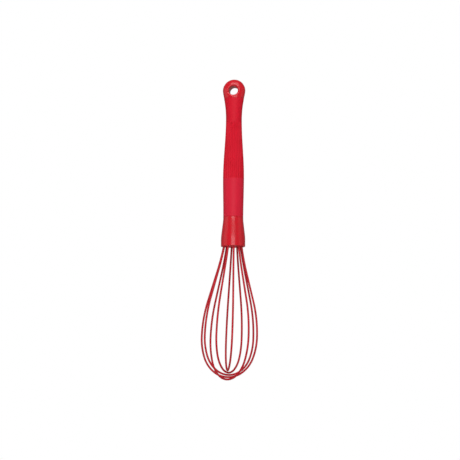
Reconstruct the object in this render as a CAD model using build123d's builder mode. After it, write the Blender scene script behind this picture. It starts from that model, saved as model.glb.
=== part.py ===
# Balloon whisk: five coated wire loops in a flared collar, a soft-grip handle and a hanging eye.
# Millimetres, +Z up. The origin is the middle of the hanging eye's hole, whose axis lies along Y,
# and the whisk hangs from it: handle, collar and balloon follow one another downwards.
from build123d import *
from math import atan2, cos, degrees, pi, radians, sin, sqrt, tan
import os

os.makedirs("parts", exist_ok=True)

# Hanging eye: its round top is centred a little above its hole
eye_radius = 10.8
eye_rise = 0.7
eye_half_depth = 7.2
eye_hole_radius = 4.3
eye_lip_radius = 1.4
eye_cap_share = 0.6

# Handle: depths below the eye's hole, with the half width (X) and half depth (Y) there
grip_top = 6.8
neck_depth = 27.3
neck_half_width = 7.6
neck_half_depth = 6.8
neck_curve = 0.66
belly_depth = 84.3
belly_half_width = 10.0
belly_half_depth = 9.3
seam_depth = 121.6
seam_radius = 9.5
grip_wall = 1.5
edge_radius = 0.25

# Collar, spigot and what is inside them
collar_length = 28.2
collar_mouth_radius = 11.5
collar_wall = 1.3
collar_neck_length = 3.0
collar_skirt_length = 8.7
collar_bend_length = 2.4
collar_rim_radius = 0.3
spigot_wall = 1.2
flange_thickness = 1.5
seat_height = 5.5
hole_edge = 1.9
resin_height = 9.0
seal_thickness = 4.0
seal_recess = 0.3
seal_crown = 0.3
bond_gap = 0.02

# Steel loops and their silicone coats
wire_radius = 0.5
coat_radius = 0.93
coat_gap = 0.02
hook_bend = 1.4
hook_length = 0.8
hook_rise = 2.0
hook_stagger = 1.2
mouth_room = 0.65
mouth_angle = 9.6
exit_bend = 30.0
lean_height = 10.0

# Balloon, below the collar's mouth
balloon_length = 125.8
balloon_half_width = 25.4
balloon_oval = 1.3
oval_turn = -20
lean_x = -3.3
lean_y = -6.1
round_end_height = 39.5
flare_ratio = 1.85
flank_share = 0.34
shoulder_fullness = 1.1
bottom_turns = (20, 35, 35)

# Loops: the first one's turn about Z, and how far apart they lie at their lowest points, in coat
# diameters. The balloon's lowest point stands off the handle's axis by the lean above.
loop_count = 5
first_turn = -39
stack_pitch = 1.15
loops = range(1, loop_count + 1)

# Sizes that follow from those above
spigot_radius = seam_radius - collar_wall - bond_gap
socket_radius = spigot_radius - spigot_wall
seat_radius = socket_radius - bond_gap
seat_circle = seat_radius - hole_edge
mouth_depth = seam_depth + collar_length
collar_flare_length = collar_length - collar_neck_length - collar_skirt_length
collar_flare_angle = atan2(collar_mouth_radius - seam_radius, collar_flare_length)
collar_bend_radius = collar_bend_length / tan(collar_flare_angle / 2)
mouth_inner_radius = collar_mouth_radius - collar_wall
mouth_circle = mouth_inner_radius - coat_radius - mouth_room
exit_turn = radians(mouth_angle)
mouth_run = (mouth_circle - seat_circle - exit_bend * (1 - cos(exit_turn))) / sin(exit_turn)
seat_to_mouth = exit_bend * sin(exit_turn) + mouth_run * cos(exit_turn)
seat_bottom = -mouth_depth + seat_to_mouth
flange_top = seat_bottom + flange_thickness
seat_top = seat_bottom + seat_height
resin_top = seat_top + resin_height
foot_length = seat_height - flange_thickness + hook_rise


def ease(start, end, share):
    """A half cosine from start to end."""
    return start + (end - start) * (1 - cos(pi * share)) / 2


def handle_half_sizes(depth):
    """Half width and half depth of the handle at a depth below the eye's hole."""
    eye = (eye_radius, eye_half_depth)
    neck = (neck_half_width, neck_half_depth)
    belly = (belly_half_width, belly_half_depth)
    if depth < -eye_rise:
        cap = sqrt(1 - ((depth + eye_rise) / eye_radius) ** 2)
        return eye_radius * cap, eye_half_depth * cap
    if depth < neck_depth:
        share = ((depth + eye_rise) / (neck_depth + eye_rise)) ** neck_curve
        return tuple(ease(a, b, share) for a, b in zip(eye, neck))
    if depth < belly_depth:
        share = (depth - neck_depth) / (belly_depth - neck_depth)
        return tuple(ease(a, b, share) for a, b in zip(neck, belly))
    share = (depth - belly_depth) / (seam_depth - belly_depth)
    return tuple(ease(a, seam_radius, share) for a in belly)


def handle_body(depths, wall):
    """The handle between the first and last depth, lying a wall's thickness inside its outside."""
    with BuildPart(mode=Mode.PRIVATE) as body:
        for depth in depths:
            half_width, half_depth = handle_half_sizes(depth)
            with BuildSketch(Plane.XY.offset(-depth)):
                Ellipse(half_width - wall, half_depth - wall)
        loft()
    return body.part


def between(top, bottom, steps):
    """Evenly spaced depths from top to bottom."""
    return [top + (bottom - top) * step / steps for step in range(steps + 1)]


cap_depths = between(-eye_rise - eye_cap_share * eye_radius, -eye_rise, 2)[:-1]
neck_depths = between(-eye_rise, neck_depth, 5)[:-1]
lower_depths = between(neck_depth, belly_depth, 4)[:-1] + between(belly_depth, seam_depth, 2)
whole_body = handle_body(cap_depths + neck_depths + lower_depths, 0)
shank_depths = [grip_top] + [depth for depth in neck_depths if depth > grip_top + 1] + lower_depths
shank_body = handle_body(shank_depths, grip_wall)
grip_bore = handle_body(shank_depths, grip_wall - bond_gap)

# The eye's rounded top, half of an ellipsoid turned about an axis beside the hole's
with BuildPart() as eye_cap:
    with BuildSketch(Plane.XY.offset(eye_rise)):
        with BuildLine():
            EllipticalCenterArc((0, 0), eye_radius, eye_half_depth, -90, arc_size=180)
            Line((0, eye_half_depth), (0, -eye_half_depth))
        make_face()
    revolve(axis=Axis((0, 0, eye_rise), (0, 1, 0)))
    split(bisect_by=Plane.XY.offset(-cap_depths[0]), keep=Keep.TOP)

# Handle core: the eye in full width, the shank under the grip, the spigot and its socket
with BuildPart() as handle_core:
    add(whole_body)
    with BuildSketch(Plane.XZ):
        Circle(eye_hole_radius)
    extrude(amount=eye_radius, both=True, mode=Mode.SUBTRACT)
    hole_edges = [e for e in edges() if abs(e.center().Z) < eye_lip_radius]
    fillet([e for e in hole_edges if e.length > 2 * pi * eye_hole_radius], eye_lip_radius)
    add(eye_cap.part)
    split(bisect_by=Plane.XY.offset(-grip_top), keep=Keep.TOP)
    add(shank_body)
    with BuildSketch(Plane.XY.offset(-seam_depth)):
        Circle(spigot_radius)
    extrude(amount=flange_top + bond_gap + seam_depth)
    with BuildSketch(Plane.XY.offset(resin_top + bond_gap)):
        Circle(socket_radius)
    extrude(amount=-(resin_top - flange_top + 2 * bond_gap), mode=Mode.SUBTRACT)
handle_core.part.label = "handle_core"
export_step(handle_core.part, "parts/handle_core.step")

# Soft grip moulded over the shank, flush with the eye above and the collar below
with BuildPart() as grip_sleeve:
    add(whole_body)
    split(bisect_by=Plane.XY.offset(-grip_top - bond_gap), keep=Keep.BOTTOM)
    ends = edges().filter_by(GeomType.LINE, reverse=True).sort_by(Axis.Z)
    fillet([ends[0], ends[-1]], edge_radius)
    add(grip_bore, mode=Mode.SUBTRACT)
grip_sleeve.part.label = "grip_sleeve"
export_step(grip_sleeve.part, "parts/grip_sleeve.step")


def collar_outline(neck_radius, mouth_radius, top, bottom):
    """A flared outline from the seam to the mouth, with both of its bends rounded."""
    points = [
        (neck_radius, top),
        (neck_radius, -seam_depth - collar_neck_length),
        (mouth_radius, -mouth_depth + collar_skirt_length),
        (mouth_radius, bottom),
    ]
    return FilletPolyline(*points, radius=collar_bend_radius)


# Collar: a flared ferrule glued on the spigot, its upper bore cylindrical and its skirt thin-walled
with BuildPart() as collar:
    with BuildSketch(Plane.XZ):
        with BuildLine():
            outline = collar_outline(seam_radius, collar_mouth_radius, -seam_depth, -mouth_depth)
            Polyline(outline @ 0, (0, -seam_depth), (0, -mouth_depth), outline @ 1)
        make_face()
    revolve(axis=Axis.Z)
    fillet(edges().sort_by(Axis.Z)[-1], edge_radius)
    with BuildSketch(Plane.XZ):
        with BuildLine():
            bore = collar_outline(seam_radius - collar_wall, mouth_inner_radius, -seam_depth, -mouth_depth)
            Polyline(bore @ 0, (0, -seam_depth), (0, -mouth_depth), bore @ 1)
        make_face()
    revolve(axis=Axis.Z, mode=Mode.SUBTRACT)
    fillet(edges().group_by(Axis.Z)[0], collar_rim_radius)
collar.part.label = "collar"
export_step(collar.part, "parts/collar.step")


def leg_moves(half_width, length):
    """One leg of a loop from the seat down to its lowest point: (length, 0) runs, (radius, turn) arcs.

    Below the mouth the leg flares out, runs straight along the flank and turns in to the widest
    place. The flare's radius is flare_ratio times the shoulder's, and both follow from the width
    and height to be covered. The round end has three arcs that flow like a quarter of an ellipse.
    """
    out = half_width - mouth_circle
    down = balloon_length - round_end_height
    flank = flank_share * down
    lean = flare_ratio * cos(exit_turn) + 1
    square = 2 * flare_ratio * (cos(exit_turn) - 1)
    middle = 2 * (down * flare_ratio * sin(exit_turn) - out * lean)
    rest = out**2 + down**2 - flank**2
    shoulder = (-middle - sqrt(middle**2 - 4 * square * rest)) / (2 * square)
    flare = flare_ratio * shoulder
    side = out - flare * cos(exit_turn) - shoulder
    drop = down + flare * sin(exit_turn)
    flank_turn = atan2(flank, -(flare + shoulder)) - atan2(drop, side)
    rise = length - down
    first, second, third = bottom_turns
    low, high = radians(first), radians(first + second)
    side_arc = shoulder_fullness * rise**2 / half_width
    across = half_width - side_arc * (1 - cos(low))
    below = rise - side_arc * sin(low)
    a, b = cos(low) - cos(high), cos(high)
    c, d = sin(high) - sin(low), 1 - sin(high)
    corner_arc = (across * d - b * below) / (a * d - b * c)
    end_arc = (a * below - c * across) / (a * d - b * c)
    return [
        (flange_thickness, 0),
        (exit_bend, -mouth_angle),
        (mouth_run, 0),
        (flare, mouth_angle - degrees(flank_turn)),
        (flank, 0),
        (shoulder, degrees(flank_turn)),
        (side_arc, first),
        (corner_arc, second),
        (end_arc, third),
    ]


def loop_turn(number):
    """How far round the handle's axis a loop stands, in degrees: the loops share half a circle evenly."""
    return first_turn + (number - 1) * 180 / loop_count


def loop_lift(number):
    """How far a loop's lowest point stands above the lowest loop's, each laid over the one before."""
    return (number - 1) * stack_pitch * 2 * coat_radius


def loop_half_width(number):
    """Half width of a loop: seen from below, the balloon is a slight oval."""
    return balloon_half_width + balloon_oval * cos(radians(2 * (loop_turn(number) - oval_turn)))


def loop_plane(number):
    """The plane of a loop: x along its width, y up its axis, origin level with the mouth."""
    hinge = Vector(0, 0, -mouth_depth + lean_height)
    lowest = Vector(lean_x, lean_y, -mouth_depth - balloon_length + loop_lift(number))
    up = (hinge - lowest).normalized()
    across = Vector(1, 0, 0).rotate(Axis.Z, loop_turn(number))
    across = (across - up * across.dot(up)).normalized()
    return Plane(origin=hinge - up * lean_height, x_dir=across, z_dir=across.cross(up))


def loop_tube(number, radius, hooked):
    """A round bar along a whole loop, with or without the hooked feet above the seat's flange."""
    plane = loop_plane(number)
    lowest = plane.origin.Z + mouth_depth
    length = balloon_length - loop_lift(number) + lowest
    leg = leg_moves(loop_half_width(number), length)
    start = (-seat_circle, seat_to_mouth + flange_thickness)
    heading = (0, -1)
    if hooked:
        foot = foot_length + hook_stagger * (number % 2)
        leg = [(hook_length, 0), (hook_bend, 90), (foot, 0)] + leg
        start = (start[0] + hook_bend + hook_length, start[1] + foot + hook_bend)
        heading = (-1, 0)
    with BuildPart() as tube:
        with BuildLine(plane) as path:
            spot = plane.from_local_coords(Vector(*start, 0))
            heading = plane.from_local_coords(Vector(*start, 0) + Vector(*heading, 0)) - spot
            for size, turn in leg + leg[::-1]:
                piece = JernArc(spot, heading, size, turn) if turn else Line(spot, spot + heading * size)
                spot, heading = piece @ 1, piece % 1
        with BuildSketch(Plane(origin=path.line @ 0, z_dir=path.line % 0)):
            Circle(radius)
        sweep(path=path.line)
    return tube.part


# Steel loops with hooked feet, and the silicone coat on each
for number in loops:
    wire = loop_tube(number, wire_radius, hooked=True)
    wire.label = f"wire_{number}"
    export_step(wire, f"parts/wire_{number}.step")

wire_holes = [loop_tube(number, wire_radius + coat_gap, hooked=True) for number in loops]
coat_holes = [loop_tube(number, coat_radius + coat_gap, hooked=False) for number in loops]
for number, wire_hole in zip(loops, wire_holes):
    with BuildPart() as coat:
        add(loop_tube(number, coat_radius, hooked=False))
        add(wire_hole, mode=Mode.SUBTRACT)
    coat.part.label = f"coat_{number}"
    export_step(coat.part, f"parts/coat_{number}.step")

# Wire seat: a flange under the spigot and a plug in its socket, with a stepped hole for each strand
with BuildPart() as wire_seat:
    with BuildSketch(Plane.XY.offset(seat_bottom)):
        Circle(spigot_radius)
    extrude(amount=flange_thickness)
    with BuildSketch(Plane.XY.offset(flange_top)):
        Circle(seat_radius)
    extrude(amount=seat_height - flange_thickness)
    add(coat_holes + wire_holes, mode=Mode.SUBTRACT)
wire_seat.part.label = "wire_seat"
export_step(wire_seat.part, "parts/wire_seat.step")

# Resin poured over the hooked feet before the core is pushed on
with BuildPart() as resin_fill:
    with BuildSketch(Plane.XY.offset(seat_top)):
        Circle(seat_radius)
    extrude(amount=resin_height)
    add(wire_holes, mode=Mode.SUBTRACT)
resin_fill.part.label = "resin_fill"
export_step(resin_fill.part, "parts/resin_fill.step")

# Mouth seal: a soft plug inside the collar's rim, crowned below, that each strand passes through
with BuildPart() as mouth_seal:
    seal_edge = mouth_inner_radius - bond_gap
    seal_bottom = -mouth_depth + seal_recess
    with BuildSketch(Plane.XZ):
        with BuildLine():
            crown = TangentArc((0, seal_bottom - seal_crown), (seal_edge, seal_bottom), tangent=(1, 0))
            seal_top = seal_bottom + seal_thickness
            Polyline(crown @ 1, (seal_edge, seal_top), (0, seal_top), crown @ 0)
        make_face()
    revolve(axis=Axis.Z)
    add(coat_holes, mode=Mode.SUBTRACT)
mouth_seal.part.label = "mouth_seal"
export_step(mouth_seal.part, "parts/mouth_seal.step")
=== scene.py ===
# Balloon whisk: soft grip, glossy collar and eye, five silicone-coated loops.
# Metres, in the CAD's frame: the middle of the eye's hole is the origin and the whisk hangs below it.
import bpy
import numpy as np
from mathutils import Euler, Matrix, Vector


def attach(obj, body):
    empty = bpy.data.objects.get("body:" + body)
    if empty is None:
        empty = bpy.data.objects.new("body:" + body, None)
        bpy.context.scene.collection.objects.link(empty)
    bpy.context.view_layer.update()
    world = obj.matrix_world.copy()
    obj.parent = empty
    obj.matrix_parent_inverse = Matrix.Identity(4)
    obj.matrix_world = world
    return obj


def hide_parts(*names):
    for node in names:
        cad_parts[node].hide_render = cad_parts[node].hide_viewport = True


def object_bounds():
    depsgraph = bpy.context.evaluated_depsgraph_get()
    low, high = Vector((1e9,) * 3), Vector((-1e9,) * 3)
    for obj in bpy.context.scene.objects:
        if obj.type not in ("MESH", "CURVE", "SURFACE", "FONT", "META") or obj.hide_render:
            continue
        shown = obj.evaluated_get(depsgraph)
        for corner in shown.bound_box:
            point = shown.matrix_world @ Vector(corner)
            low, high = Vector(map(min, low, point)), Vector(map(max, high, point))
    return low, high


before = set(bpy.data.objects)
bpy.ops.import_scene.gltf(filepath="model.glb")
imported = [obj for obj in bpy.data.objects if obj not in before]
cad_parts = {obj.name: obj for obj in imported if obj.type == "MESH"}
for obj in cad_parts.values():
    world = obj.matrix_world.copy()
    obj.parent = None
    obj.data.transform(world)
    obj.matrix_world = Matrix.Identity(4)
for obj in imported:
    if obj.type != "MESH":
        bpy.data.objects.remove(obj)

cadLow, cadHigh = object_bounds()
mm = 0.001

# The lens stands a little lower than the whisk and to its right, and looks slightly up at it
view = {
    "azimuth": 8.5,
    "elevation": -7,
    "distance": 1.5,
    "room": 1.517,          # the picture's height, where the whisk's length is 1
    "roll": 0.4,
    "aimDown": 1.5 * mm - (cadLow[2] + cadHigh[2]) / 2,   # just under the whisk's middle
    "aimLeft": 3 * mm,
}


def makeCamera(v):
    camera = bpy.data.objects.new("camera", bpy.data.cameras.new("camera"))
    bpy.context.scene.collection.objects.link(camera)
    turn, tilt = np.radians(v["azimuth"]), np.radians(v["elevation"])
    back = Vector((np.sin(turn) * np.cos(tilt), -np.cos(turn) * np.cos(tilt), np.sin(tilt)))
    right = Vector((np.cos(turn), np.sin(turn), 0))
    camera.location = Vector((0, 0, -v["aimDown"])) - right * v["aimLeft"] + back * v["distance"]
    look = (-back).to_track_quat("-Z", "Y")
    camera.rotation_mode = "QUATERNION"
    camera.rotation_quaternion = look @ Euler((0, 0, np.radians(v["roll"]))).to_quaternion()
    camera.data.sensor_width = 36
    tall = cadHigh[2] - cadLow[2]
    camera.data.lens = camera.data.sensor_width * v["distance"] / (v["room"] * tall)
    camera.data.clip_start, camera.data.clip_end = 0.05, 20
    bpy.context.scene.camera = camera


makeCamera(view)
bpy.context.scene.view_settings.view_transform = "Standard"
print("camera set")

# Soft boxes: (azimuth, elevation, distance, width, height, brightness of its face, where white is 1)
lights = {
    "frontBox": (8.0, 5.0, 1.7, 1.0, 0.9, 2.95),
    "overheadBox": (5.0, 52.0, 1.2, 1.0, 0.8, 3.6),
    "rightFill": (82.0, 5.0, 1.4, 1.0, 1.2, 0.3),
    "leftFill": (-72.0, 5.0, 1.4, 1.1, 1.2, 0.55),
    "lowFill": (0.0, -10.0, 1.2, 1.4, 0.3, 0.5),
}
roomBrightness = 0.22
floorLook = {"depth": 440 * mm, "radius": 0.7, "rim": 0.004}


def makeLight(name, azimuth, elevation, distance, width, height, brightness):
    lamp = bpy.data.lights.new(name, "AREA")
    lamp.shape = "RECTANGLE"
    lamp.size, lamp.size_y = width, height
    lamp.energy = brightness * np.pi * width * height
    holder = bpy.data.objects.new(name, lamp)
    turn, tilt = np.radians(azimuth), np.radians(elevation)
    away = Vector((np.sin(turn) * np.cos(tilt), -np.cos(turn) * np.cos(tilt), np.sin(tilt)))
    holder.location = Vector((0, 0, -view["aimDown"])) + away * distance
    holder.rotation_mode = "QUATERNION"
    holder.rotation_quaternion = (-away).to_track_quat("-Z", "Y")
    bpy.context.scene.collection.objects.link(holder)


for lightName, spec in lights.items():
    makeLight(lightName, *spec)

world = bpy.data.worlds.new("studio")
bpy.context.scene.world = world
world.use_nodes = True
worldNodes, worldLinks = world.node_tree.nodes, world.node_tree.links
worldNodes.clear()
paper = worldNodes.new("ShaderNodeBackground")     # what the lens sees
paper.inputs["Color"].default_value = (1, 1, 1, 1)
paper.inputs["Strength"].default_value = 1.0
roomGlow = worldNodes.new("ShaderNodeBackground")  # what lights the whisk
roomGlow.inputs["Color"].default_value = (1.0, 0.99, 0.98, 1)
roomGlow.inputs["Strength"].default_value = roomBrightness
lightPath = worldNodes.new("ShaderNodeLightPath")
chooser = worldNodes.new("ShaderNodeMixShader")
worldOut = worldNodes.new("ShaderNodeOutputWorld")
worldLinks.new(lightPath.outputs["Is Camera Ray"], chooser.inputs[0])
worldLinks.new(roomGlow.outputs[0], chooser.inputs[1])
worldLinks.new(paper.outputs[0], chooser.inputs[2])
worldLinks.new(chooser.outputs[0], worldOut.inputs["Surface"])
print("lights set")


# A socket that takes part in Python sums: each operator adds one Math node
class Sock:
    def __init__(self, finish, socket):
        self.finish, self.socket = finish, socket

    def maths(self, operation, *values):
        return Sock(self.finish, self.finish.node("Math", {"operation": operation}, list(values)).outputs[0])

    def __add__(self, other): return self.maths("ADD", self, other)
    def __radd__(self, other): return self.maths("ADD", other, self)
    def __sub__(self, other): return self.maths("SUBTRACT", self, other)
    def __rsub__(self, other): return self.maths("SUBTRACT", other, self)
    def __mul__(self, other): return self.maths("MULTIPLY", self, other)
    def __rmul__(self, other): return self.maths("MULTIPLY", other, self)
    def __truediv__(self, other): return self.maths("DIVIDE", self, other)
    def __rtruediv__(self, other): return self.maths("DIVIDE", other, self)
    def __pow__(self, other): return self.maths("POWER", self, other)


# One material's node tree, with one method that makes any node
class Finish:
    def __init__(self, name):
        self.material = bpy.data.materials.new(name)
        self.material.use_nodes = True
        self.tree = self.material.node_tree
        self.tree.nodes.clear()
        self.place = self.node("TexCoord").outputs["Object"]

    # settings are set first; inputs is a list in the sockets' order, or a dictionary by name
    def node(self, kind, settings=None, inputs=()):
        made = self.tree.nodes.new("ShaderNode" + kind)
        for name, value in (settings or {}).items():
            setattr(made, name, value)
        for entry, value in (inputs.items() if isinstance(inputs, dict) else enumerate(inputs)):
            socket = made.inputs[entry]
            value = value.socket if isinstance(value, Sock) else value
            if isinstance(value, bpy.types.NodeSocket):
                self.tree.links.new(value, socket)
            else:
                socket.default_value = value
        return made

    # Noise from 0 to 1 at a number of lumps a metre, stretched along an axis where its share is small
    def noise(self, scale, detail=2.0, rough=0.5, stretch=(1, 1, 1), shift=(0, 0, 0)):
        spot = self.node("Mapping", None, {"Vector": self.place, "Location": shift, "Scale": stretch})
        settings = {"Vector": spot.outputs[0], "Scale": scale, "Detail": detail, "Roughness": rough}
        return Sock(self, self.node("TexNoise", None, settings).outputs["Fac"])

    # A smooth step from one number to another as the value goes from low to high
    def step(self, value, low, high, start=0.0, end=1.0):
        settings = {"clamp": True, "interpolation_type": "SMOOTHSTEP"}
        return Sock(self, self.node("MapRange", settings, [value, low, high, start, end]).outputs[0])

    def blend(self, share, first, second):
        made = self.node("Mix", {"data_type": "RGBA"}, {0: share, 6: first, 7: second})
        return made.outputs[2]

    def bump(self, height, depth, strength=1.0, under=None):
        inputs = {"Height": height, "Distance": depth, "Strength": strength}
        if under is not None:
            inputs["Normal"] = under
        return self.node("Bump", None, inputs).outputs[0]

    def done(self, inputs):
        shader = self.node("BsdfPrincipled", None, inputs)
        self.node("OutputMaterial", None, {"Surface": shader.outputs[0]})
        return self.material


# Screen colour 0 to 255 as the linear colour that shaders take
def rgb(red, green, blue):
    share = np.array([red, green, blue]) / 255
    line = np.where(share <= 0.04045, share / 12.92, ((share + 0.055) / 1.055) ** 2.4)
    return tuple(float(c) for c in line) + (1.0,)


glossLook = {
    "red": rgb(210, 14, 34), "deepRed": rgb(202, 11, 30),
    "roughness": (0.19, 0.25), "smear": 0.04, "flow": 0.000004,
}
gripLook = {
    "red": rgb(212, 16, 42), "deepRed": rgb(205, 13, 37), "rubbed": rgb(214, 40, 60),
    # the band colour is a painted highlight: a pinker red on the smooth band below the ribs
    "highlightBand": rgb(216, 34, 60), "bandTop": -85 * mm, "highlightShare": 0.7, "bandPolish": 0.1,
    "roughness": (0.50, 0.62), "grain": 0.000012, "ripple": 0.00003,
}
coatLook = {
    "red": rgb(196, 12, 34), "deepRed": rgb(182, 8, 28),
    "roughness": (0.34, 0.46), "skin": 0.000004,
}
sealLook = {"red": rgb(200, 16, 36), "deepRed": rgb(188, 12, 30), "roughness": (0.4, 0.55), "pores": 0.00001}
steelLook = {"bright": rgb(196, 197, 200), "dull": rgb(168, 170, 174), "roughness": (0.22, 0.4)}
seatLook = {"pale": rgb(226, 222, 212), "shade": rgb(206, 202, 190), "roughness": (0.4, 0.6)}
resinLook = {"amber": rgb(214, 186, 128), "dark": rgb(186, 152, 92), "roughness": (0.2, 0.4)}


# Injection-moulded gloss: slow flow marks in the colour and skin, and finger smears in the shine
def glossyPlastic(look):
    f = Finish("glossyPlastic")
    flow = f.noise(110, 2, 0.5, (1, 1, 0.4))
    smear = f.noise(70, 3, 0.55, shift=(3, 1, 2))
    roughness = f.step(flow, 0.35, 0.68, *look["roughness"]) + look["smear"] * f.step(smear, 0.45, 0.7)
    colour = f.blend(f.step(flow, 0.35, 0.7), look["red"], look["deepRed"])
    inputs = {"IOR": 1.49, "Base Color": colour, "Roughness": roughness}
    return f.done(inputs | {"Normal": f.bump(flow, look["flow"])})


# Soft-touch elastomer: satin with a fine grain, slow ripples, and paler patches where hands rub. The
# smooth band below the ribs gets a painted highlight as a pinker colour, and is a little more polished.
def softGrip(look):
    f = Finish("softGrip")
    cloud = f.noise(60, 3, 0.55)
    rub = f.noise(26, 4, 0.6, (1, 1, 0.5), (1, 2, 5))
    grain = f.noise(2600, 2, 0.6)
    colour = f.blend(f.step(cloud, 0.35, 0.65), look["red"], look["deepRed"])
    colour = f.blend(0.22 * f.step(rub, 0.52, 0.78), colour, look["rubbed"])
    height = f.node("SeparateXYZ", None, [f.place]).outputs[2]
    # painted highlight: below the ribs the colour is blended towards a pinker red; the same mask lowers the
    # roughness
    highlightBand = f.step(height, look["bandTop"] - 0.3 * mm, look["bandTop"], 1, 0)
    colour = f.blend(look["highlightShare"] * highlightBand, colour, look["highlightBand"])
    roughness = f.step(0.5 * grain + 0.5 * cloud, 0.35, 0.65, *look["roughness"])
    roughness = roughness - look["bandPolish"] * highlightBand
    normal = f.bump(grain, look["grain"], 0.5, f.bump(cloud, look["ripple"]))
    inputs = {"IOR": 1.45, "Specular IOR Level": 0.2}
    return f.done(inputs | {"Base Color": colour, "Roughness": roughness, "Normal": normal})


# Silicone skin: smooth satin with faint dips along its length and a dusty change in shine
def coatSilicone(look):
    f = Finish("coatSilicone")
    drift = f.noise(120, 3, 0.55)
    skin = f.noise(1400, 2, 0.5, (1, 1, 0.4))
    colour = f.blend(f.step(drift, 0.35, 0.68), look["red"], look["deepRed"])
    roughness = f.step(drift, 0.3, 0.7, *look["roughness"])
    inputs = {"IOR": 1.41, "Base Color": colour, "Roughness": roughness}
    return f.done(inputs | {"Normal": f.bump(skin, look["skin"], 0.7)})


# The soft plug in the mouth: satin, with a cast skin
def sealRubber(look):
    f = Finish("sealRubber")
    drift = f.noise(260, 3, 0.6)
    pores = f.noise(2400, 2, 0.6)
    colour = f.blend(f.step(drift, 0.35, 0.65), look["red"], look["deepRed"])
    inputs = {"IOR": 1.41, "Base Color": colour, "Roughness": f.step(pores, 0.3, 0.7, *look["roughness"])}
    return f.done(inputs | {"Normal": f.bump(pores, look["pores"], 0.6)})


# Drawn wire: bright, with long die lines
def springSteel(look):
    f = Finish("springSteel")
    lines = f.noise(1800, 3, 0.6, (1, 1, 0.04))
    colour = f.blend(f.step(lines, 0.3, 0.7), look["bright"], look["dull"])
    inputs = {"Metallic": 1.0, "Base Color": colour, "Roughness": f.step(lines, 0.3, 0.7, *look["roughness"])}
    return f.done(inputs | {"Normal": f.bump(lines, 0.000004, 0.6)})


# Undyed moulded block, with cloudy flow marks
def seatPlastic(look):
    f = Finish("seatPlastic")
    flow = f.noise(300, 3, 0.6)
    colour = f.blend(f.step(flow, 0.3, 0.7), look["pale"], look["shade"])
    inputs = {"IOR": 1.5, "Base Color": colour, "Roughness": f.step(flow, 0.3, 0.7, *look["roughness"])}
    return f.done(inputs | {"Normal": f.bump(flow, 0.00001, 0.5)})


# Cured potting resin, amber and cloudy with small bubbles
def castResin(look):
    f = Finish("castResin")
    cloud = f.noise(400, 4, 0.6)
    cells = Sock(f, f.node("TexVoronoi", None, {"Vector": f.place, "Scale": 900.0}).outputs["Distance"])
    pits = 1 - f.step(cells, 0.1, 0.25)
    colour = f.blend(f.step(cloud, 0.3, 0.7), look["amber"], look["dark"])
    roughness = f.step(cloud, 0.3, 0.7, *look["roughness"]) + 0.2 * pits
    inputs = {"IOR": 1.55, "Base Color": colour, "Roughness": roughness}
    return f.done(inputs | {"Normal": f.bump(1 - pits, 0.00004, 0.6)})


# Pale studio floor, with a faint unevenness
def floorPaper():
    f = Finish("floorPaper")
    cloud = f.noise(6, 3, 0.5)
    colour = f.blend(cloud, rgb(238, 238, 236), rgb(232, 232, 230))
    return f.done({"Base Color": colour, "Roughness": 0.8})


gloss, grip, coatSkin = glossyPlastic(glossLook), softGrip(gripLook), coatSilicone(coatLook)
seal, steel = sealRubber(sealLook), springSteel(steelLook)
seatStuff, resin = seatPlastic(seatLook), castResin(resinLook)
print("materials made")


# A closed mesh from a grid of points, rows by columns by xyz: columns wrap round, rows too if asked,
# and otherwise each end row closes on a point at its own middle. Rows run so that faces look outwards.
def gridMesh(name, points, material, wrapRows=False):
    rows, columns, _ = points.shape
    down = np.arange(rows if wrapRows else rows - 1)[:, None]
    across = np.arange(columns)[None, :]
    here, right = down * columns + across, down * columns + (across + 1) % columns
    under, underRight = (np.array([here, right]) + columns) % (rows * columns)
    quads = np.stack([here, under, underRight, right], -1).reshape(-1, 4)
    vertices = points.reshape(-1, 3)
    faces = quads.tolist()
    if not wrapRows:
        first, last = len(vertices), len(vertices) + 1
        vertices = np.vstack([vertices, points[0].mean(0), points[-1].mean(0)])
        ring = np.arange(columns)
        turned = (ring + 1) % columns
        faces += np.stack([np.full(columns, first), ring, turned], -1).tolist()
        base = (rows - 1) * columns
        faces += np.stack([np.full(columns, last), base + turned, base + ring], -1).tolist()
    mesh = bpy.data.meshes.new(name)
    mesh.from_pydata(vertices.tolist(), [], faces)
    mesh.polygons.foreach_set("use_smooth", np.ones(len(faces), bool))
    mesh.materials.append(material)
    mesh.update()
    made = bpy.data.objects.new(name, mesh)
    bpy.context.scene.collection.objects.link(made)
    return made


def place(made, node):
    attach(made, "root")
    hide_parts(node)


# Points along an arc: centre, radius, first and last angle in degrees, and how many
def arc(centre, radius, start, end, count):
    angle = np.radians(np.linspace(start, end, count))
    return np.stack([centre[0] + radius * np.cos(angle), centre[1] + radius * np.sin(angle)], -1)


handle = {
    "eyeRadius": 10.8 * mm, "eyeRise": 0.7 * mm, "eyeHalfDepth": 7.2 * mm,
    "neckDepth": 27.3 * mm, "neckHalfWidth": 7.6 * mm, "neckHalfDepth": 6.8 * mm, "neckCurve": 0.66,
    "bellyDepth": 84.3 * mm, "bellyHalfWidth": 10.0 * mm, "bellyHalfDepth": 9.3 * mm,
    "seamDepth": 121.6 * mm, "seamRadius": 9.5 * mm,
}


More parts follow.
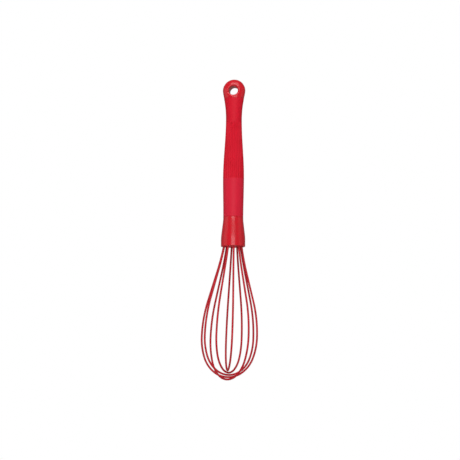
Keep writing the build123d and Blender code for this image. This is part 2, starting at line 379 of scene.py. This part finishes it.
# Half width and half depth of the handle at depths below the eye's hole, each a half cosine from one
# station to the next: eye to neck, where the change comes early, neck to belly, and belly to seam
def handleHalfSizes(depth):
    def ease(start, end, share):
        return start + (end - start) * (1 - np.cos(np.pi * np.clip(share, 0, 1))) / 2

    h = handle
    neckShare = np.clip((depth + h["eyeRise"]) / (h["neckDepth"] + h["eyeRise"]), 0, 1) ** h["neckCurve"]
    bellyShare = (depth - h["neckDepth"]) / (h["bellyDepth"] - h["neckDepth"])
    seamShare = (depth - h["bellyDepth"]) / (h["seamDepth"] - h["bellyDepth"])
    wide = ease(h["eyeRadius"], h["neckHalfWidth"], neckShare)
    wide = wide + ease(0, h["bellyHalfWidth"] - h["neckHalfWidth"], bellyShare)
    wide = wide + ease(0, h["seamRadius"] - h["bellyHalfWidth"], seamShare)
    deep = ease(h["eyeHalfDepth"], h["neckHalfDepth"], neckShare)
    deep = deep + ease(0, h["bellyHalfDepth"] - h["neckHalfDepth"], bellyShare)
    return wide, deep + ease(0, h["seamRadius"] - h["bellyHalfDepth"], seamShare)


sleeve = {
    "top": 6.82 * mm, "bottom": 121.58 * mm, "wall": 1.47 * mm, "edge": 0.3 * mm,
    "rows": 190, "innerRows": 12, "columns": 336,
    "ribs": 28, "ribDepth": 0.5 * mm, "ribTop": 29.5 * mm, "ribBottom": 85 * mm, "ribFade": 2.5 * mm,
    "bandStep": 0.5 * mm,                                    # how short the step is at the smooth band
    "partingHeight": 0.05 * mm, "partingWidth": 0.25 * mm,   # the faint line where the mould's halves met
}


# The grip: a closed skin of oval rings. Going round the wall, depth runs down the outside, round the
# lower edge, up the inside and over the top edge; each ring is the handle's oval less the inset there.
# Over the middle the inset takes a squared cosine of the turn: shallow ribs lengthwise that fade in
# at the top and stop at the smooth band; a narrow bell-shaped ridge runs down both sides.
def makeSleeve(s):
    edge, wall = s["edge"], s["wall"]
    upper = arc((edge, s["top"] + edge), edge, 270, 180, 7)       # inset, depth
    lower = arc((edge, s["bottom"] - edge), edge, 180, 90, 7)
    down = np.linspace(upper[-1, 1], lower[0, 1], s["rows"])[1:-1]
    up = np.linspace(s["bottom"], s["top"], s["innerRows"])
    inset = np.concatenate([upper[:, 0], np.zeros(len(down)), lower[:, 0], np.full(len(up), wall)])
    depth = np.concatenate([upper[:, 1], down, lower[:, 1], up])
    turn = np.linspace(0, 2 * np.pi, s["columns"], endpoint=False)
    wide, deep = handleHalfSizes(depth)
    wide, deep = wide[:, None], deep[:, None]
    outside = (inset < edge)[:, None]
    setIn = np.clip((depth - s["ribTop"]) / s["ribFade"], 0, 1)
    setIn = setIn * np.clip((s["ribBottom"] - depth) / s["bandStep"], 0, 1)
    groove = setIn[:, None] * s["ribDepth"] * ((1 + np.cos(s["ribs"] * turn)) / 2) ** 2 * outside
    fromSide = deep * np.sin(turn)
    ridge = s["partingHeight"] * np.exp(-(fromSide / s["partingWidth"]) ** 2) * outside
    sunk = inset[:, None] + groove
    points = np.stack([(wide - sunk + ridge) * np.cos(turn), (deep - sunk) * np.sin(turn),
                       -depth[:, None] + 0 * turn], -1)
    place(gridMesh("softGripSleeve", points, grip, wrapRows=True), "grip_sleeve")


makeSleeve(sleeve)
print("grip made")

collar = {
    "neckRadius": 9.5 * mm, "mouthRadius": 11.5 * mm, "length": 28.2 * mm, "wall": 1.3 * mm,
    "neckLength": 3.0 * mm, "skirtLength": 8.7 * mm, "bend": 2.4 * mm,
    "topEdge": 0.28 * mm, "rim": 0.3 * mm, "columns": 192, "rows": 70,
}


# The collar: a profile turned about the axis. Its radius is the neck's plus a slope that sets in
# gently at the end of the neck and leaves off gently at the skirt; the rim is a round bead's edge.
def makeCollar(c):
    def ramp(x):
        gentle = (x + c["bend"]) ** 2 / (4 * c["bend"])
        return np.where(x < -c["bend"], 0, np.where(x > c["bend"], x, gentle))

    def radiusAt(down, inset):
        slope = (c["mouthRadius"] - c["neckRadius"]) / (c["length"] - c["neckLength"] - c["skirtLength"])
        grown = ramp(down - c["neckLength"]) - ramp(down - c["length"] + c["skirtLength"])
        return c["neckRadius"] - inset + slope * grown

    upper = arc((c["topEdge"], c["topEdge"]), c["topEdge"], 270, 180, 7)        # inset, distance down
    outerRim = arc((c["rim"], c["length"] - c["rim"]), c["rim"], 180, 90, 10)
    innerRim = arc((c["wall"] - c["rim"], c["length"] - c["rim"]), c["rim"], 90, 0, 10)
    down = np.linspace(upper[-1, 1], outerRim[0, 1], c["rows"])[1:-1]
    bore = np.full(len(down) + 1, c["wall"])
    inset = np.concatenate([upper[:, 0], 0 * down, outerRim[:, 0], innerRim[:, 0], bore])
    along = np.concatenate([upper[:, 1], down, outerRim[:, 1], innerRim[:, 1], down[::-1], [0]])
    turn = np.linspace(0, 2 * np.pi, c["columns"], endpoint=False)
    radius = radiusAt(along, inset)[:, None]
    height = -handle["seamDepth"] - along[:, None] + 0 * turn
    points = np.stack([radius * np.cos(turn), radius * np.sin(turn), height], -1)
    place(gridMesh("flaredCollar", points, gloss, wrapRows=True), "collar")


makeCollar(collar)
print("collar made")

balloon = {
    "coatRadius": 0.93 * mm, "wireRoom": 0.52 * mm, "unevenness": 0.012,
    "swells": ((7.3, 0.37), (16.1, 0.61)),   # waves along a loop, and their shift from loop to loop
    "seatCircle": 5.06 * mm, "mouthRoom": 0.65 * mm, "mouthAngle": 9.6, "exitBend": 30 * mm,
    "flange": 1.5 * mm, "lean": 10 * mm,
    "length": 125.8 * mm, "halfWidth": 25.4 * mm, "oval": 1.3 * mm, "ovalTurn": -20, "roundEnd": 39.5 * mm,
    "leanX": -3.3 * mm, "leanY": -6.1 * mm, "count": 5, "firstTurn": -39, "stackPitch": 1.15,
    "flareRatio": 1.85, "flankShare": 0.34, "shoulderFullness": 1.1, "bottomTurns": (20, 35, 35),
    "step": 0.9 * mm, "sides": 20,
}


# Straight runs (length, 0) and bends (radius, turn) of one leg, from the seat to the lowest point.
# Under the mouth the leg flares, runs straight down the flank and turns in to the widest place: the
# flare's radius is a fixed ratio of the shoulder's, and the two are what covers the width and height.
# The round end is three bends that flow into one another like a quarter of an ellipse.
def legMoves(b, halfWidth, length):
    mouthCircle = collar["mouthRadius"] - collar["wall"] - b["coatRadius"] - b["mouthRoom"]
    angle = np.radians(b["mouthAngle"])
    run = (mouthCircle - b["seatCircle"] - b["exitBend"] * (1 - np.cos(angle))) / np.sin(angle)
    seatToMouth = b["exitBend"] * np.sin(angle) + run * np.cos(angle)
    out, down = halfWidth - mouthCircle, b["length"] - b["roundEnd"]
    flank = b["flankShare"] * down
    lean = b["flareRatio"] * np.cos(angle) + 1
    square = 2 * b["flareRatio"] * (np.cos(angle) - 1)
    middle = 2 * (down * b["flareRatio"] * np.sin(angle) - out * lean)
    rest = out**2 + down**2 - flank**2
    shoulder = (-middle - np.sqrt(middle**2 - 4 * square * rest)) / (2 * square)
    flare = b["flareRatio"] * shoulder
    side = out - flare * np.cos(angle) - shoulder
    drop = down + flare * np.sin(angle)
    flankTurn = np.degrees(np.arctan2(flank, -(flare + shoulder)) - np.arctan2(drop, side))
    first, second, third = b["bottomTurns"]
    low, high = np.radians(first), np.radians(first + second)
    rise = length - down
    sideBend = b["shoulderFullness"] * rise**2 / halfWidth
    corner = [[np.cos(low) - np.cos(high), np.cos(high)], [np.sin(high) - np.sin(low), 1 - np.sin(high)]]
    left = [halfWidth - sideBend * (1 - np.cos(low)), rise - sideBend * np.sin(low)]
    cornerBend, endBend = np.linalg.solve(corner, left)
    moves = [(b["flange"], 0), (b["exitBend"], -b["mouthAngle"]), (run, 0),
             (flare, b["mouthAngle"] - flankTurn), (flank, 0), (shoulder, flankTurn),
             (sideBend, first), (cornerBend, second), (endBend, third)]
    return moves, seatToMouth


# Points and headings along a chain of runs and bends in a plane, as arrays
def walk(spot, heading, moves, step):
    spots, headings = [np.array([spot])], [np.array([heading])]
    for size, turn in moves:
        length = size * abs(np.radians(turn)) if turn else size
        count = max(2, int(np.ceil(length / step)))
        share = np.linspace(0, 1, count + 1)[1:]
        if turn:
            side = np.sign(turn)
            centre = spot + side * size * np.array([-np.sin(heading), np.cos(heading)])
            angle = heading + np.radians(turn) * share
            points = centre + side * size * np.stack([np.sin(angle), -np.cos(angle)], -1)
        else:
            angle = heading + 0 * share
            points = spot + length * share[:, None] * np.array([np.cos(heading), np.sin(heading)])
        spots.append(points)
        headings.append(angle)
        spot, heading = points[-1], angle[-1]
    return np.vstack(spots), np.concatenate(headings)


# One coat: rings carried along the loop, down one leg and up the other, out along the skin and back
# along the bore. The loops share half a circle evenly, each laid over the one before, and the balloon
# is a slight oval seen from below, with one lean. The skin's radius swells and thins a little along the way.
def makeCoat(number, b):
    turn = b["firstTurn"] + (number - 1) * 180 / b["count"]
    lift = (number - 1) * b["stackPitch"] * 2 * b["coatRadius"]
    halfWidth = b["halfWidth"] + b["oval"] * np.cos(np.radians(2 * (turn - b["ovalTurn"])))
    mouth = -handle["seamDepth"] - collar["length"]
    hinge = np.array([0, 0, mouth + b["lean"]])
    lowest = np.array([b["leanX"], b["leanY"], mouth - b["length"] + lift])
    up = (hinge - lowest) / np.linalg.norm(hinge - lowest)
    across = np.array([np.cos(np.radians(turn)), np.sin(np.radians(turn)), 0])
    across = across - up * (across @ up)
    across = across / np.linalg.norm(across)
    normal = np.cross(across, up)
    origin = hinge - up * b["lean"]
    length = b["length"] - lift + origin[2] - mouth
    leg, seatToMouth = legMoves(b, halfWidth, length)
    start = np.array([-b["seatCircle"], seatToMouth + b["flange"]])
    flat, heading = walk(start, -np.pi / 2, leg + leg[::-1], b["step"])
    centre = origin + flat[:, :1] * across + flat[:, 1:] * up
    inward = -np.sin(heading)[:, None] * across + np.cos(heading)[:, None] * up
    along = np.linspace(0, 1, len(flat))
    waves = [np.sin(2 * np.pi * (count * along + shift * number)) for count, shift in b["swells"]]
    skin = b["coatRadius"] * (1 + b["unevenness"] * sum(waves) / 2)
    radius = np.concatenate([skin, np.full(len(flat), b["wireRoom"])])[:, None, None]
    centre, inward = np.vstack([centre, centre[::-1]])[:, None], np.vstack([inward, inward[::-1]])[:, None]
    angle = np.linspace(0, 2 * np.pi, b["sides"], endpoint=False)[None, :, None]
    points = centre + radius * (np.cos(angle) * normal + np.sin(angle) * inward)
    place(gridMesh(f"coatLoop{number}", points, coatSkin, wrapRows=True), f"coat_{number}")


loops = range(1, balloon["count"] + 1)
for number in loops:
    makeCoat(number, balloon)
print("loops made")


# Place the floor well under the whisk: a disc whose rim is rounded down
def makeFloor(look):
    turn = np.linspace(0, 2 * np.pi, 128, endpoint=False)
    rim = arc((look["radius"], -look["depth"] - look["rim"]), look["rim"], -90, 90, 9)[::-1]
    radius = np.concatenate([np.linspace(0.05, look["radius"], 12)[:-1], rim[:, 0], [0.05]])
    height = np.concatenate([np.full(11, -look["depth"]), rim[:, 1], [rim[-1, 1]]])
    points = np.stack([radius[:, None] * np.cos(turn), radius[:, None] * np.sin(turn),
                       height[:, None] + 0 * turn], -1)
    gridMesh("floor", points, floorPaper())


makeFloor(floorLook)
print("floor made")


def dress(node, material):
    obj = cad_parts[node]
    obj.data.materials.clear()
    obj.data.materials.append(material)


cadLooks = {"handle_core": gloss, "mouth_seal": seal, "wire_seat": seatStuff, "resin_fill": resin}
for node, material in cadLooks.items():
    dress(node, material)
for number in loops:
    dress(f"wire_{number}", steel)
print("CAD pieces dressed")
